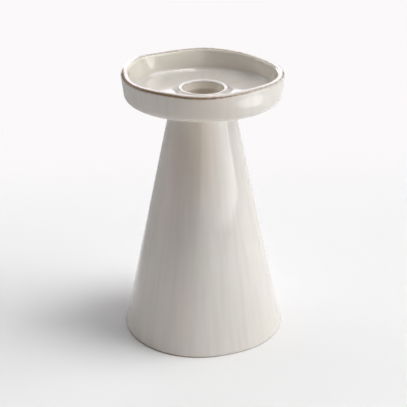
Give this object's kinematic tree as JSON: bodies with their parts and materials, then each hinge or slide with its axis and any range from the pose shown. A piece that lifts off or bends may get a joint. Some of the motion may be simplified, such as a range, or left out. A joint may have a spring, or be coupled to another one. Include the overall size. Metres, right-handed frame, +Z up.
{
  "type": "taper candlestick",
  "caption": "Glazed stoneware candlestick: hollow flared cone stem under a shallow drip pan with a hand-pressed rim, and a raised socket for a taper candle.",
  "frame": {"origin": "on the table under the middle of the foot", "axes": "+Z up along the stem, out of the taper socket's mouth; -Y the front, +X the right"},
  "size_m": [0.1071, 0.1072, 0.1796],
  "materials": {
    "stem_glaze": "glossy off-white glaze with faint upright streaks, bare brown clay at the foot",
    "pan_glaze": "glossy off-white glaze, thin and brown over the rim's edges",
    "cup_glaze": "glossy off-white glaze",
    "fired_slip": "matt fired clay under the glaze"
  },
  "bodies": {
    "root": {"conical_stem": "stem_glaze", "neck_slip": "fired_slip", "drip_pan": "pan_glaze", "cup_slip": "fired_slip", "candle_cup": "cup_glaze"}
  },
  "joints": []
}
